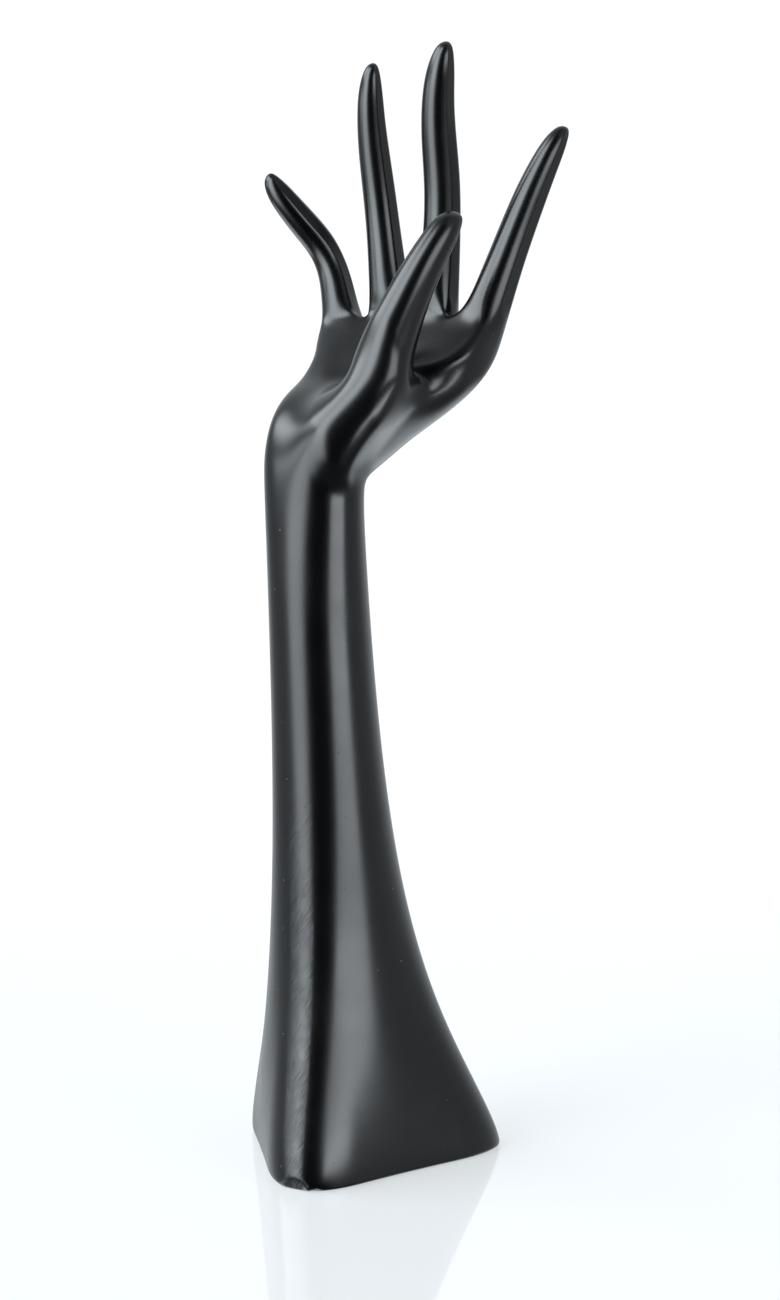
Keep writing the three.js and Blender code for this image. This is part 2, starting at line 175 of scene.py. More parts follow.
def azimuth_of(tree, direction):
    """Degrees round from the camera's side of the stand, growing to the right."""
    east, north = (part_of(tree, direction, axis) for axis in range(2))
    return east.math("ARCTAN2", east, 0 - north) * DEGREES


def window(angle, limits, soft):
    """1 between two limits, with soft edges."""
    low, high = limits
    return angle.rise(low - soft, low + soft) * angle.rise(high + soft, high - soft)


def mixed(tree, share, first, second):
    """A colour between two others."""
    return Wire.add(tree, "ShaderNodeMix", {"data_type": "RGBA"}, {"Factor": share, 6: first, 7: second}, 2)


print("a half circle is", round(pi * DEGREES), "degrees")

# %% Studio painted by direction
world = bpy.data.worlds.new("studio")
world.use_nodes = True
scene.world = world
studio = world.node_tree
studio.nodes.clear()
direction = Wire.add(studio, "ShaderNodeTexCoord", output="Generated")
azimuth = azimuth_of(studio, direction)
above = part_of(studio, direction, 2)
elevation = above.math("ARCSINE", above) * DEGREES
radiance = ROOM_WHITE
brighter = elevation.rise(BRIGHTER_FROM, BRIGHTER_TO)
for across, upright, soft, low, high in ROOM_PATCHES.values():
    patch = window(azimuth, across, soft) * window(elevation, upright, soft)
    level = low + brighter * (high - low)
    radiance = radiance + patch * (level - radiance)
from_front = azimuth.math("ABSOLUTE", azimuth).rise(TABLE_BACK_FROM, TABLE_BACK_TO)
table_light = TABLE_FRONT + from_front * (TABLE_BACK - TABLE_FRONT)
on_table = elevation.rise(TABLE_BELOW + TABLE_SOFT, TABLE_BELOW - TABLE_SOFT)
radiance = radiance + on_table * (table_light - radiance)
radiance = radiance + elevation.rise(CEILING_FROM, CEILING_TO) * (CEILING - radiance)
seen = Wire.add(studio, "ShaderNodeLightPath", output="Is Camera Ray")
strength = radiance + seen * (CAMERA_WHITE - radiance)
tint = mixed(studio, seen, COOL_WHITE, WHITE)
background = Wire.add(studio, "ShaderNodeBackground", None, {"Color": tint, "Strength": strength})
Wire.add(studio, "ShaderNodeOutputWorld", None, {"Surface": background})
scene.view_settings.view_transform = "Standard"
print("studio:", len(studio.nodes), "nodes")

# %% [markdown]
# The right-hand soft box stands close by. The foot and the arm mirror it, and the thumb above looks out over
# its top, so this one cannot be painted on a far room. An area lamp would do, but a glowing card can be kept
# out of the picture: its finish lets the camera's own rays through, so that it shows in reflections only.

# %% Right soft box
SOFT_BOX_AZIMUTH, SOFT_BOX_DISTANCE = radians(44), 700
SOFT_BOX_WIDTH, SOFT_BOX_HEIGHT = 455, 125
SOFT_BOX_RADIANCE = 8.5


def new_finish(name):
    """A material with an empty tree."""
    material = bpy.data.materials.new(name)
    material.use_nodes = True
    material.node_tree.nodes.clear()
    return material, material.node_tree


def glowing_card(name, width, height, radiance):
    """An upright card whose lower edge is on its origin."""
    corners = [(-width / 2, 0, 0), (width / 2, 0, 0), (width / 2, 0, height), (-width / 2, 0, height)]
    mesh = bpy.data.meshes.new(name)
    mesh.from_pydata([Vector(corner) * MM for corner in corners], [], [(0, 1, 2, 3)])
    finish, tree = new_finish(name)
    glow = Wire.add(tree, "ShaderNodeEmission", None, {"Color": COOL_WHITE, "Strength": radiance})
    clear = Wire.add(tree, "ShaderNodeBsdfTransparent")
    seen = Wire.add(tree, "ShaderNodeLightPath", output="Is Camera Ray")
    card = Wire.add(tree, "ShaderNodeMixShader", None, {0: seen, 1: glow, 2: clear})
    Wire.add(tree, "ShaderNodeOutputMaterial", None, {"Surface": card})
    mesh.materials.append(finish)
    return bpy.data.objects.new(name, mesh)


soft_box = glowing_card("right_soft_box", SOFT_BOX_WIDTH, SOFT_BOX_HEIGHT, SOFT_BOX_RADIANCE)
soft_box.location = Vector((sin(SOFT_BOX_AZIMUTH), -cos(SOFT_BOX_AZIMUTH), 0)) * SOFT_BOX_DISTANCE * MM
soft_box.rotation_euler = (0, 0, SOFT_BOX_AZIMUTH)
scene.collection.objects.link(soft_box)
print("right soft box at", [round(value, 3) for value in soft_box.location])

# %% [markdown]
# The stand is on a glossy white table that has no visible edge. A sweep of card could hide the edge. A disc
# whose finish turns into plain white light away from the foot does the same, and keeps the mirror image
# under the foot. The skin must not mirror the table, because the painted room already holds it.

# %% Glossy white table
TABLE_RADIUS, TABLE_SIDES = 6.0, 96
TABLE_WHITE, TABLE_TINT = (0.24, 0.245, 0.25, 1.0), (0.96, 0.985, 1.0, 1.0)
TABLE_GLOSS, TABLE_IOR, TABLE_GLOW = 0.05, 1.65, 0.54
WHITE_FROM, WHITE_TO = 0.2, 0.7

bpy.ops.mesh.primitive_circle_add(vertices=TABLE_SIDES, radius=TABLE_RADIUS, fill_type="NGON")
table = bpy.context.object
table.name = "table_top"
table.visible_glossy = False
table_finish, table_tree = new_finish("glossy_white_table")
place = Wire.add(table_tree, "ShaderNodeNewGeometry", output="Position")
from_foot = Wire.add(table_tree, "ShaderNodeVectorMath", {"operation": "LENGTH"}, {0: place}, "Value")
gloss = Wire.add(table_tree, "ShaderNodeBsdfPrincipled", None, {
    "Base Color": TABLE_WHITE,
    "Roughness": TABLE_GLOSS,
    "IOR": TABLE_IOR,
    "Emission Color": TABLE_TINT,
    "Emission Strength": TABLE_GLOW,
})
light = Wire.add(table_tree, "ShaderNodeEmission", None, {"Color": WHITE, "Strength": CAMERA_WHITE})
whiter = from_foot.rise(WHITE_FROM, WHITE_TO)
fading = Wire.add(table_tree, "ShaderNodeMixShader", None, {0: whiter, 1: gloss, 2: light})
Wire.add(table_tree, "ShaderNodeOutputMaterial", None, {"Surface": fading})
table.data.materials.append(table_finish)
print("table turns white", WHITE_FROM, "to", WHITE_TO, "m from the foot")

# %% [markdown]
# The casting is one skin without a seam, so it is made as one mesh. Sculpting would work, but a cage of few
# quads under a subdivision surface keeps every size in a named value. Rings of points are strung together:
# up the forearm, over the palm, and out along each finger. The sizes are in millimetres, as in the CAD part,
# but the ball of the thumb and the heel of the hand lie where the reflections in the photograph put them.

# %% A cage of rings
NO_FINGER = (90.0, 0.0, 0.0, 0.0, 0.0, 0.0)
MARK_NAMES = ("turn", "girth", "along", "side_x", "side_y", "side_z")


class Cage:
    """Quads strung between rings of points. Each point carries marks that the finish reads later."""

    def __init__(self):
        self.points = []
        self.marks = []
        self.faces = []
        self.sharp_rings = []

    def add_ring(self, ring, marks=None):
        first = len(self.points)
        self.points += ring
        self.marks += marks or [NO_FINGER] * len(ring)
        return list(range(first, len(self.points)))

    def bridge(self, lower, ring, marks=None):
        upper = self.add_ring(ring, marks)
        for k, corner in enumerate(lower):
            following = (k + 1) % len(lower)
            self.faces.append((corner, upper[k], upper[following], lower[following]))
        return upper

    def close(self, ring, centre, mark=NO_FINGER):
        middle = self.add_ring([centre], [mark])[0]
        for k in range(0, len(ring), 2):
            self.faces.append((ring[k], middle, ring[(k + 2) % len(ring)], ring[k + 1]))


def lerp(start, end, share):
    return start + (end - start) * share


def smooth_step(value, low, high):
    share = min(max((value - low) / (high - low), 0), 1)
    return share * share * (3 - 2 * share)


def bump(offset, reach):
    """1 in the middle, falling smoothly to 0 at the reach."""
    return 0.5 + 0.5 * cos(pi * min(abs(offset) / reach, 1))


cage = Cage()
print("each point carries", MARK_NAMES)

# %% [markdown]
# The foot is a rounded triangle: three sides blended by a power sum, which gives soft corners from one
# number. Going up it gives way to a round arm, which sways a little to the left. Mixing the two by one over
# their reach keeps every section convex, so that a reflection runs over it as one clean band. The same
# formula serves the skin, the hollow and the pad.

# %% Forearm rings
COLUMNS = 24
FOOT_SIDE_REACH, FOOT_LEFT_REACH = 34.2, 31.6
FOOT_CORNER_POWER = 2.8
FOOT_FRONT_CORNER = -112
FLARE_HEIGHT, FLARE_POWER = 113.5, 1.62
ARM_DIAMETER = 32.2
SWAY_HEIGHT = 378
WRIST = Vector((-12.2, -10.8, 235))
HAND_AZIMUTH = 53


def foot_reach(angle):
    total = 0
    for side, reach in enumerate((FOOT_SIDE_REACH, FOOT_SIDE_REACH, FOOT_LEFT_REACH)):
        towards = cos(angle - radians(FOOT_FRONT_CORNER + 60 + 120 * side))
        total += (max(towards, 0) / reach) ** FOOT_CORNER_POWER
    return total ** (-1 / FOOT_CORNER_POWER)


def forearm_ring(z, inset=0, count=COLUMNS):
    height = max(z, 0)
    foot_share = exp(-((height / FLARE_HEIGHT) ** FLARE_POWER))
    sway = (1 - exp(-height / SWAY_HEIGHT)) / (1 - exp(-WRIST.z / SWAY_HEIGHT))
    ring = []
    for k in range(count):
        angle = radians(HAND_AZIMUTH - 90) - k * 2 * pi / count
        reach = 1 / (foot_share / foot_reach(angle) + (1 - foot_share) * 2 / ARM_DIAMETER) - inset
        ring.append(Vector((WRIST.x * sway + reach * cos(angle), WRIST.y * sway + reach * sin(angle), z)))
    return ring


def through_points(ring):
    """Cage points whose smoothed ring passes close by the given points."""
    return [ring[k] * 8 / 6 - (ring[k - 1] + ring[(k + 1) % len(ring)]) / 6 for k in range(len(ring))]


print("foot reaches", round(max(point.length for point in forearm_ring(0)), 1), "mm from the middle")

# %% [markdown]
# The casting is hollow: a cavity runs up the arm, and a rebate round its open underside takes the board and
# the pad. A Boolean could cut both out of a solid, but it leaves ragged faces that do not smooth well. So the
# cage starts at the top of the cavity, comes down inside, turns round the rim and goes up the outside.

# %% Hollow, rim and forearm
RIM_WIDTH, LEDGE_WIDTH = 3, 3
PAD_THICKNESS, PAD_PROUD = 1.5, 0.3
PLATE_THICKNESS, GLUE_GAP, FIT_GAP = 3, 0.3, 0.5
FOOT_EDGE_RADIUS = 1.4
CORE_BELOW_WRIST = 40
CORE_RINGS = 8
FOREARM_RINGS, FOREARM_CROWDING = 10, 1.4

ledge_height = PAD_THICKNESS + PLATE_THICKNESS + GLUE_GAP
core_top = WRIST.z - CORE_BELOW_WRIST
core_wall = RIM_WIDTH + LEDGE_WIDTH
ring = cage.add_ring(forearm_ring(core_top, core_wall))
cage.close(ring[::-1], sum(forearm_ring(core_top, core_wall), Vector()) / COLUMNS)
for i in range(1, CORE_RINGS + 1):
    ring = cage.bridge(ring, forearm_ring(lerp(core_top, ledge_height, i / CORE_RINGS), core_wall))
cage.sharp_rings.append(ring)
for inset, z in ((RIM_WIDTH, ledge_height), (RIM_WIDTH, PAD_PROUD)):
    ring = cage.bridge(ring, through_points(forearm_ring(z, inset)))
    cage.sharp_rings.append(ring)
ring = cage.bridge(ring, through_points(forearm_ring(PAD_PROUD, FOOT_EDGE_RADIUS / 2)))
ring = cage.bridge(ring, through_points(forearm_ring(PAD_PROUD + FOOT_EDGE_RADIUS)))
for i in range(1, FOREARM_RINGS):
    z = WRIST.z * (i / FOREARM_RINGS) ** FOREARM_CROWDING
    ring = cage.bridge(ring, through_points(forearm_ring(z)))
forearm_top = ring
print("forearm and hollow:", len(cage.points), "cage points")

# %% [markdown]
# The hand bends back from the wrist. It could be built upright and turned afterwards, but its skin has to run
# on from the arm's without a break. So its own directions are worked out once: thumbward is towards the
# thumb, fingerward runs up the hand and palmward comes out of the palm.

# %% Directions of the hand
WRIST_BEND, WRIST_BEND_RADIUS = radians(54), 20

up = Vector((0, 0, 1))
heading = Vector((cos(radians(HAND_AZIMUTH)), sin(radians(HAND_AZIMUTH)), 0))
thumbward = Vector((heading.y, -heading.x, 0))
bend_length = WRIST_BEND_RADIUS * WRIST_BEND


def tilted(angle):
    return heading * sin(angle) + up * cos(angle)


fingerward = tilted(WRIST_BEND)
palmward = thumbward.cross(fingerward)


def hand_point(across, out, along):
    tilt = min(max((along + bend_length) / WRIST_BEND_RADIUS, 0), WRIST_BEND)
    bend = heading * (1 - cos(tilt)) + up * sin(tilt)
    return (WRIST + bend * WRIST_BEND_RADIUS + tilted(tilt) * max(along, 0)
            + thumbward * across + thumbward.cross(tilted(tilt)) * out)


print("fingerward is", [round(value, 2) for value in fingerward])
print("palmward is", [round(value, 2) for value in palmward])

# %% [markdown]
# Palm sections change from the wrist's oval to the flat knuckle line. The ball of the thumb and the heel
# swell out, and the middle of the palm is hollowed. Each of these could be pulled out by hand. As one smooth
# hill each, given by where it lies and how far it spans, they stay easy to move.

# %% Sizes of the palm
WRIST_BREADTH, WRIST_DEPTH = 34.8, 29
PALM_LENGTH = 57
PALM_THUMB_REACH, PALM_FAR_REACH = 34, 31
PALM_EDGE_ROUND, PALM_FACE_ROUND = 1.7, 0.12
PALM_ARCH, PALM_HOLLOW = 2, 4
PALM_SHIFT, PALM_SHIFT_SHARE, PALM_SHIFT_SPAN = 5.5, 0.7, 0.55
KNUCKLE_DEPTH = 17
KNUCKLE_DROP, KNUCKLE_DROP_SHARE, KNUCKLE_CREST = 7, 0.6, 0.25
BALL_SWELL, BALL_SIDE_SWELL, BALL_SAG = 17, 2.6, 8.5
BALL_CREST_LOW, BALL_CREST_HIGH, BALL_TURNED_SHARE = 4.4, 2.4, 0.38
BALL_SPAN, BALL_FULL_SHARE, BALL_END_SHARE = 5, 0.42, 0.5
HEEL_SWELL, WRIST_FILL = 4.5, 2.4
# Where a hill lies: its column and how many it spans, its share of the way up and the share that it spans
HEEL_AT = (9.5, 4, 0.25, 0.32)
HOLLOW_AT = (6.5, 4.5, 0.6, 0.4)
WRIST_FILL_AT = (20, 7, 0.2, 0.32)
HEEL_RINGS, UPPER_PALM_RINGS = 5, 2
FORK_ALONG = 20
FLAT_COLUMNS = 4
print("palm", PALM_LENGTH, "mm long and", PALM_THUMB_REACH + PALM_FAR_REACH, "mm broad")

# %% Hills of the palm
def flat_palm(column):
    """A column's place across and out of a flat palm with rounded edges, from -1 to 1 each."""
    half = COLUMNS / 2
    across = (half / 2 - column if column <= half else column - 1.5 * half) / FLAT_COLUMNS
    face = 1 if 0 < column < half else -1
    if abs(across) <= 1:
        return across, face * (1 - PALM_FACE_ROUND * across ** 4)
    return (1 if across > 0 else -1), (0 if column % half == 0 else face / 2)


def columns_from(column, centre):
    return (column - centre + COLUMNS / 2) % COLUMNS - COLUMNS / 2


def near(column, share, centre, column_span, at_share, share_span):
    return bump(share - at_share, share_span) * bump(columns_from(column, centre), column_span)


def ball_at(column, share):
    """Share of the full ball of the thumb, whose crest turns towards the thumb as it grows."""
    if share >= BALL_END_SHARE:
        return 0
    crest = lerp(BALL_CREST_LOW, BALL_CREST_HIGH, min(share / BALL_TURNED_SHARE, 1))
    return smooth_step(share, 0, BALL_FULL_SHARE) * bump(columns_from(column, crest), BALL_SPAN)


print("the ball's crest turns from column", BALL_CREST_LOW, "to column", BALL_CREST_HIGH)

# %% Palm rings
def palm_point(column, share):
    ease = smooth_step(share, 0, 1)
    angle = 2 * pi * column / COLUMNS
    flat_across, flat_out = flat_palm(column)
    on_edge = abs(flat_across) == 1 and abs(flat_out) <= 0.5
    reach = (PALM_FAR_REACH if flat_across < 0 else PALM_THUMB_REACH) + (PALM_EDGE_ROUND if on_edge else 0)
    across = lerp(cos(angle), flat_across, ease)
    half_depth = lerp(WRIST_DEPTH, KNUCKLE_DEPTH, ease ** 2) / 2
    out = half_depth * lerp(sin(angle), flat_out, ease) - PALM_ARCH * ease * (1 - across ** 2)
    ball = ball_at(column, share)
    heel = HEEL_SWELL * near(column, share, *HEEL_AT)
    hollow = PALM_HOLLOW * near(column, share, *HOLLOW_AT)
    fill = WRIST_FILL * near(column, share, *WRIST_FILL_AT)
    shift = PALM_SHIFT * bump(share - PALM_SHIFT_SHARE, PALM_SHIFT_SPAN)
    drop = KNUCKLE_DROP * (flat_across - KNUCKLE_CREST) ** 2 * smooth_step(share, KNUCKLE_DROP_SHARE, 1)
    return hand_point(
        lerp(WRIST_BREADTH / 2, reach, ease) * across + shift + BALL_SIDE_SWELL * ball,
        out + BALL_SWELL * ball + heel - hollow - fill,
        lerp(-bend_length, PALM_LENGTH, share) - BALL_SAG * ball - drop,
    )


def palm_ring(share):
    return [palm_point(column, share) for column in range(COLUMNS)]


def palm_share(along):
    return (bend_length + along) / (bend_length + PALM_LENGTH)


ring = forearm_top
for i in range(HEEL_RINGS):
    ring = cage.bridge(ring, palm_ring(palm_share(FORK_ALONG) * i / HEEL_RINGS))
heel_top = ring
print("heel of the hand:", len(cage.points), "cage points")

# %% [markdown]
# A finger follows its bones. An armature could bend it, but a smooth curve through the joints is enough for a
# finger that never moves. Each bone is given by its length, how far it bends out of the palm and how far it
# spreads towards the thumb.

# %% Finger curve
FINE_STEPS, CURVE_STEPS = 60, 200
SHORTEST_GAP = 1e-6


def bone_direction(bend, spread):
    in_plane = fingerward * cos(radians(bend)) + palmward * sin(radians(bend))
    return in_plane * cos(radians(spread)) + thumbward * sin(radians(spread))


def finger_joints(start, bones):
    joints = [start]
    for length, bend, spread in bones:
        joints.append(joints[-1] + bone_direction(bend, spread) * length)
    return joints


def curve_piece(before, start, end, after, share):
    """One stretch of a centripetal curve through joints."""
    stretches = ((before, start), (start, end), (end, after))
    gap_in, gap, gap_out = (max((b - a).length ** 0.5, SHORTEST_GAP) for a, b in stretches)
    out = ((start - before) / gap_in - (end - before) / (gap_in + gap) + (end - start) / gap) * gap
    into = ((end - start) / gap - (after - start) / (gap + gap_out) + (after - end) / gap_out) * gap
    return (start + out * share + (3 * (end - start) - 2 * out - into) * share ** 2
            + (2 * (start - end) + out + into) * share ** 3)


def joint_curve(joints):
    """Points of the curve at even steps of its length, with their directions."""
    ends = [joints[0] * 2 - joints[1], *joints, joints[-1] * 2 - joints[-2]]
    fine = []
    for i in range(len(joints) - 1):
        fine += [curve_piece(*ends[i:i + 4], step / FINE_STEPS) for step in range(FINE_STEPS)]
    fine.append(joints[-1])
    lengths = np.concatenate([[0], np.cumsum([(b - a).length for a, b in zip(fine, fine[1:])])])
    wanted = np.linspace(0, lengths[-1], CURVE_STEPS + 1)
    even = np.stack([np.interp(wanted, lengths, [point[axis] for point in fine]) for axis in range(3)], 1)
    slopes = np.gradient(even, axis=0)
    return even, slopes / np.linalg.norm(slopes, axis=1)[:, None], lengths[-1]


print("a finger's curve has", CURVE_STEPS, "steps")

# %% [markdown]
# Round sections are set across the curve and drawn to a nose at the tip. The pad side curves up to the tip
# and the back stays straight, as on a slim mannequin hand. Each section point keeps how far round from the
# thumb's side it is, because the mould's parting line runs there.

# %% Finger sections
FINGER_SECTIONS = (0.13, 0.25, 0.38, 0.52, 0.66, 0.78, 0.88, 0.95, 0.985)
SIZE_STATIONS = (0, 0.35, 0.65, 0.9)
NOSE_START = 0.84
TIP_LIFT, TIP_LIFT_START = 0.55, 0.6


def section_frame(along):
    sideways = (thumbward - along * thumbward.dot(along)).normalized()
    return sideways, sideways.cross(along)


def half_width_at(share, half_widths):
    nose = max(0, (share - NOSE_START) / (1 - NOSE_START))
    return float(np.interp(share, SIZE_STATIONS, half_widths)) * sqrt(1 - nose ** 2)


def add_finger(root, start, bones, half_widths, angle_at, filed=True):
    """String sections on a ring of root points, close the tip and give back the length."""
    points, slopes, length = joint_curve(finger_joints(start, bones))
    # Smoothing shrinks a ring, so the cage is this much larger than the finger
    swell = 6 / (4 + 2 * cos(2 * pi / len(root)))
    ring = root
    for share in FINGER_SECTIONS:
        step = round(share * CURVE_STEPS)
        sideways, out = section_frame(Vector(slopes[step]))
        size = half_width_at(share, half_widths)
        lift = TIP_LIFT * (half_widths[2] - size) if share > TIP_LIFT_START else 0
        angles = [angle_at(k, share) for k in range(len(root))]
        section = []
        for angle in angles:
            beside = Vector(points[step]) + sideways * swell * size * cos(angle)
            section.append(beside + out * (swell * size * sin(angle) - lift))
        turns = [abs((angle + pi) % (2 * pi) - pi) * 180 / pi for angle in angles]
        marks = [(turn, size if filed else 0.0, share * length, *sideways) for turn in turns]
        ring = cage.bridge(ring, section, marks)
    sideways, out = section_frame(Vector(slopes[-1]))
    tip = Vector(points[-1]) - out * TIP_LIFT * half_widths[2]
    cage.close(ring, tip, (90.0, 0.0, length, *sideways))
    return length


print("sections along each finger:", len(FINGER_SECTIONS))

# %% [markdown]
# The thumb leaves the palm lower down, with a web of skin towards the index finger. It could be a separate
# mesh joined on, but the join would show as a crease. Here the palm's ring forks: six of its columns go
# round the thumb, and a short row of new points closes both loops along the edge of the web.

# %% Thumb and its web
THUMB_BONES = ((26, 34, 15), (18, 25, 12), (17, 20, 10))
THUMB_HALF_WIDTHS = (11.2, 8, 6.4, 5.2)
THUMB_ROOT, THUMB_ROOT_REACH = (19, 19, 15), 11.8
THUMB_ROOT_ANGLE, THUMB_ROOT_STEP = -49, 43
THUMB_TWIST, THUMB_EVEN_SHARE = -20, 0.6
PALM_CREASE, BACK_CREASE = (8.5, 17.5, 15.5), (29.5, 5.5, 16.5)
THUMB_WEB_DEPTH = 7
THUMB_COLUMNS = (0, 1, 2, 3, 4, 5)
WEB_COLUMNS = (4, 3, 2, 1)
THUMB_POINTS = len(THUMB_COLUMNS) + len(WEB_COLUMNS)

thumb_start = hand_point(*THUMB_ROOT)
sideways, out = section_frame(bone_direction(*THUMB_BONES[0][1:]))
split = palm_ring(palm_share(FORK_ALONG))
for k, column in enumerate(THUMB_COLUMNS):
    angle = radians(THUMB_ROOT_ANGLE + THUMB_ROOT_STEP * k)
    split[column] = thumb_start + (sideways * cos(angle) + out * sin(angle)) * THUMB_ROOT_REACH
split[THUMB_COLUMNS[0]] = hand_point(*BACK_CREASE)
split[THUMB_COLUMNS[-1]] = hand_point(*PALM_CREASE)
split_ring = cage.bridge(heel_top, split)
web = []
for k in range(len(WEB_COLUMNS)):
    share = (k + 1) / (len(WEB_COLUMNS) + 1)
    line = split[THUMB_COLUMNS[-1]].lerp(split[THUMB_COLUMNS[0]], share)
    web.append(line + fingerward * THUMB_WEB_DEPTH * sin(pi * share))
web_ids = cage.add_ring(web)
thumb_root = [split_ring[column] for column in THUMB_COLUMNS] + web_ids


def thumb_angle(k, share):
    """From where a root point lies round the thumb to an even spread."""
    even = radians(THUMB_TWIST) + 2 * pi * k / THUMB_POINTS
    offset = cage.points[thumb_root[k]] - thumb_start
    found = atan2(offset.dot(out), offset.dot(sideways))
    from_even = (found - even + pi) % (2 * pi) - pi
    return even + from_even * max(1 - share / THUMB_EVEN_SHARE, 0)


thumb_length = add_finger(thumb_root, thumb_start, THUMB_BONES, THUMB_HALF_WIDTHS, thumb_angle, filed=False)
print("thumb", round(thumb_length, 1), "mm long")

# %% [markdown]
# Above the fork the palm goes on to the knuckles, and its last ring is shared out among four fingers. Four
# separate tubes would leave gaps between them. So one new point is set between each pair, sunk into the
# thickness of the palm, and neighbours meet there in a web.

# %% Palm up to the knuckles, and four fingers
FINGER_WEB_DEPTH = 8
FINGERS = {
    "index": (((39, 26, 3.8), (23, 29, 8.4), (18.6, 27, 10.4)), (8, 6.4, 5.7, 4.4)),
    "middle": (((46.8, 45, -2.2), (30, 55, -4.3), (24, 54, 5)), (8, 6.3, 6.1, 5.2)),
    "ring": (((44, 46, -13), (30, 56, -7.3), (20.4, 56, -0.5)), (7.8, 5.9, 5.4, 4.4)),
    "little": (((30.2, 43, -22.3), (18, 82, -28), (17, 82, -30)), (7.2, 5.3, 5.2, 4.3)),
}

ring = list(split_ring)
for web_id, column in zip(web_ids, WEB_COLUMNS):
    ring[column] = web_id
for i in range(1, UPPER_PALM_RINGS + 2):
    height = lerp(FORK_ALONG, PALM_LENGTH, i / (UPPER_PALM_RINGS + 1))
    ring = cage.bridge(ring, palm_ring(palm_share(height)))
knuckles = ring
finger_webs = []
for k in range(1, len(FINGERS)):
    middle = (cage.points[knuckles[2 + 2 * k]] + cage.points[knuckles[COLUMNS - 2 - 2 * k]]) / 2
    finger_webs += cage.add_ring([middle - fingerward * FINGER_WEB_DEPTH])
far_edge = COLUMNS // 2
for i, (name, (bones, half_widths)) in enumerate(FINGERS.items()):
    is_first, is_last = i == 0, i == len(FINGERS) - 1
    thumb_side = knuckles[-1:] + knuckles[:2] if is_first else [finger_webs[i - 1]]
    far_side = knuckles[far_edge - 1:far_edge + 2] if is_last else [finger_webs[i]]
    palm_side = knuckles[2 + 2 * i:5 + 2 * i]
    back_side = knuckles[COLUMNS - 4 - 2 * i:COLUMNS - 1 - 2 * i]
    root = thumb_side + palm_side + far_side + back_side
    start = sum((cage.points[corner] for corner in root), Vector()) / len(root)
    first, count = int(is_first), len(root)
    length = add_finger(root, start, bones, half_widths, lambda k, share: 2 * pi * (k - first) / count)
    print(name, "finger", round(length, 1), "mm long")

# %% [markdown]
# The cage becomes a mesh with its marks as attributes, so that they are carried through the subdivision. The
# edges of the rim and the ledge get a full crease to stay crisp. The modifier could stay on the object, but
# its result is taken as a plain mesh, because the marks of the file are cut into its points next.

# %% Subdivide the cage
SMOOTH_LEVELS = 3


def mesh_of(cage):
    mesh = bpy.data.meshes.new("hand_cage")
    mesh.from_pydata([point * MM for point in cage.points], [], cage.faces)
    for column, name in enumerate(MARK_NAMES):
        attribute = mesh.attributes.new(name, "FLOAT", "POINT")
        attribute.data.foreach_set("value", np.array(cage.marks, np.float32)[:, column].copy())
    sharp = {frozenset((ring[k - 1], ring[k])) for ring in cage.sharp_rings for k in range(len(ring))}
    creases = mesh.attributes.new("crease_edge", "FLOAT", "EDGE")
    creases.data.foreach_set("value", [float(frozenset(edge.vertices) in sharp) for edge in mesh.edges])
    return mesh


def subdivided(mesh, name):
    cage_object = bpy.data.objects.new("cage", mesh)
    scene.collection.objects.link(cage_object)
    smoother = cage_object.modifiers.new("smooth", "SUBSURF")
    smoother.levels = smoother.render_levels = SMOOTH_LEVELS
    evaluated = cage_object.evaluated_get(bpy.context.evaluated_depsgraph_get())
    smooth = bpy.data.meshes.new_from_object(evaluated)
    bpy.data.objects.remove(cage_object)
    smooth.name = name
    smooth.shade_smooth()
    return smooth


hand_mesh = subdivided(mesh_of(cage), "hand_skin")
hand = bpy.data.objects.new("hand_skin", hand_mesh)
scene.collection.objects.link(hand)
print("hand skin:", len(cage.faces), "cage faces,", len(hand_mesh.polygons), "smooth faces")

# %% [markdown]
# The casting came out of a mould of two halves, and the seam along both sides of each finger was filed flat.
# A bump map could fake that, but a flat catches the light as one strip only if it is really flat. So the
# points of the skin are moved: each strip is pressed to a chord of its finger's round.

# %% File the mould line flat
FILED_HALF_ANGLE = radians(22.5)
FILED_FROM, FILED_TO = 6, 16


def read_points(mesh):
    flat = np.empty(len(mesh.vertices) * 3, np.float32)
    mesh.vertices.foreach_get("co", flat)
    return flat.reshape(-1, 3).astype(float) / MM


def read_mark(mesh, name):
    values = np.empty(len(mesh.vertices), np.float32)
    mesh.attributes[name].data.foreach_get("value", values)
    return values.astype(float)


def eased(values, low, high):
    share = np.clip((values - low) / (high - low), 0, 1)
    return share * share * (3 - 2 * share)


points = read_points(hand_mesh)
turn, girth, along = (read_mark(hand_mesh, name) for name in MARK_NAMES[:3])
side = np.stack([read_mark(hand_mesh, name) for name in MARK_NAMES[3:]], 1)
reach = np.cos(np.radians(turn))
pressed = np.maximum(np.abs(reach) - cos(FILED_HALF_ANGLE), 0) * eased(along, FILED_FROM, FILED_TO)
points -= side * (pressed * np.sign(reach) * girth)[:, None]
filed = (pressed * girth > 0).astype(np.float32)
hand_mesh.attributes.new("filed", "FLOAT", "POINT").data.foreach_set("value", filed)
deepest = float((pressed * girth).max())
print("filed strips hold", int(filed.sum()), "points, and are at most", round(deepest, 2), "mm deep")

# %% [markdown]
# A sculptor would set the last touches with a grab brush, a smooth brush and a knife. Here they are short
# functions, so that the touches stay in the script: grab pulls the skin near a stroke by a vector, relax
# evens out the skin near a place, and cut presses whatever stands out past a plane back on to it.

# %% Grab brush, smooth brush and knife
RELAX_STEP = 0.5


